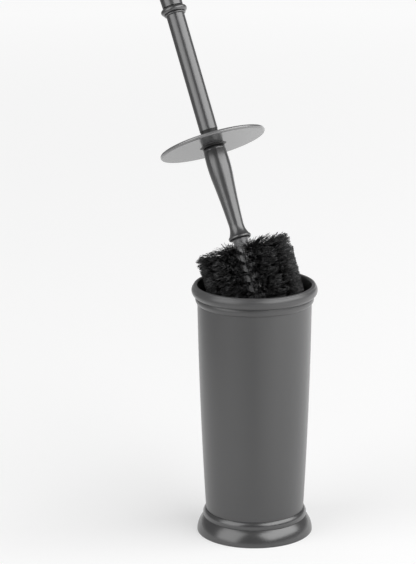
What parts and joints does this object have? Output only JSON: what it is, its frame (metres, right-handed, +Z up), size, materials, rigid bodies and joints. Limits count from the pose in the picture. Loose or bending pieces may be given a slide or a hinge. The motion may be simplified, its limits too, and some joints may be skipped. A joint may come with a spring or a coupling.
{
  "type": "toilet brush holder",
  "caption": "Round bellied toilet brush holder with rolled rim and flared foot, and its brush with splash disc leaning part-way out of the mouth.",
  "frame": {"origin": "middle of the foot's underside, on the floor", "axes": "+Z up along the holder's axis, -Y to the front, +X to the right seen from the front"},
  "size_m": [0.1579, 0.1878, 0.5282],
  "materials": {
    "cup_plastic": "matte charcoal",
    "foot_plastic": "satin charcoal",
    "handle_plastic": "satin charcoal",
    "disc_plastic": "satin charcoal",
    "collar_plastic": "matte dark",
    "core_plastic": "satin charcoal",
    "bristle": "black filament",
    "staple_steel": "drawn wire"
  },
  "bodies": {
    "holder": {"holder_cup": "cup_plastic", "base_foot": "foot_plastic"},
    "brush": {"handle_finial": "handle_plastic", "grip_ring": "handle_plastic", "grip_tube": "handle_plastic", "lid_disc": "disc_plastic", "stem_collar": "collar_plastic", "lower_stem": "handle_plastic", "brush_core": "core_plastic", "end_tufts": "bristle", "tuft_staples": "staple_steel", "tuft_row_1": "bristle", "tuft_row_2": "bristle", "tuft_row_3": "bristle", "tuft_row_4": "bristle", "tuft_row_5": "bristle", "tuft_row_6": "bristle", "tuft_row_7": "bristle", "tuft_row_8": "bristle"}
  },
  "joints": [
    {"name": "brush_draw", "type": "slide", "parent": "holder", "child": "brush", "axis": [-0.2763, 0.3678, 0.8879], "range_m": [0, 0.12]}
  ]
}
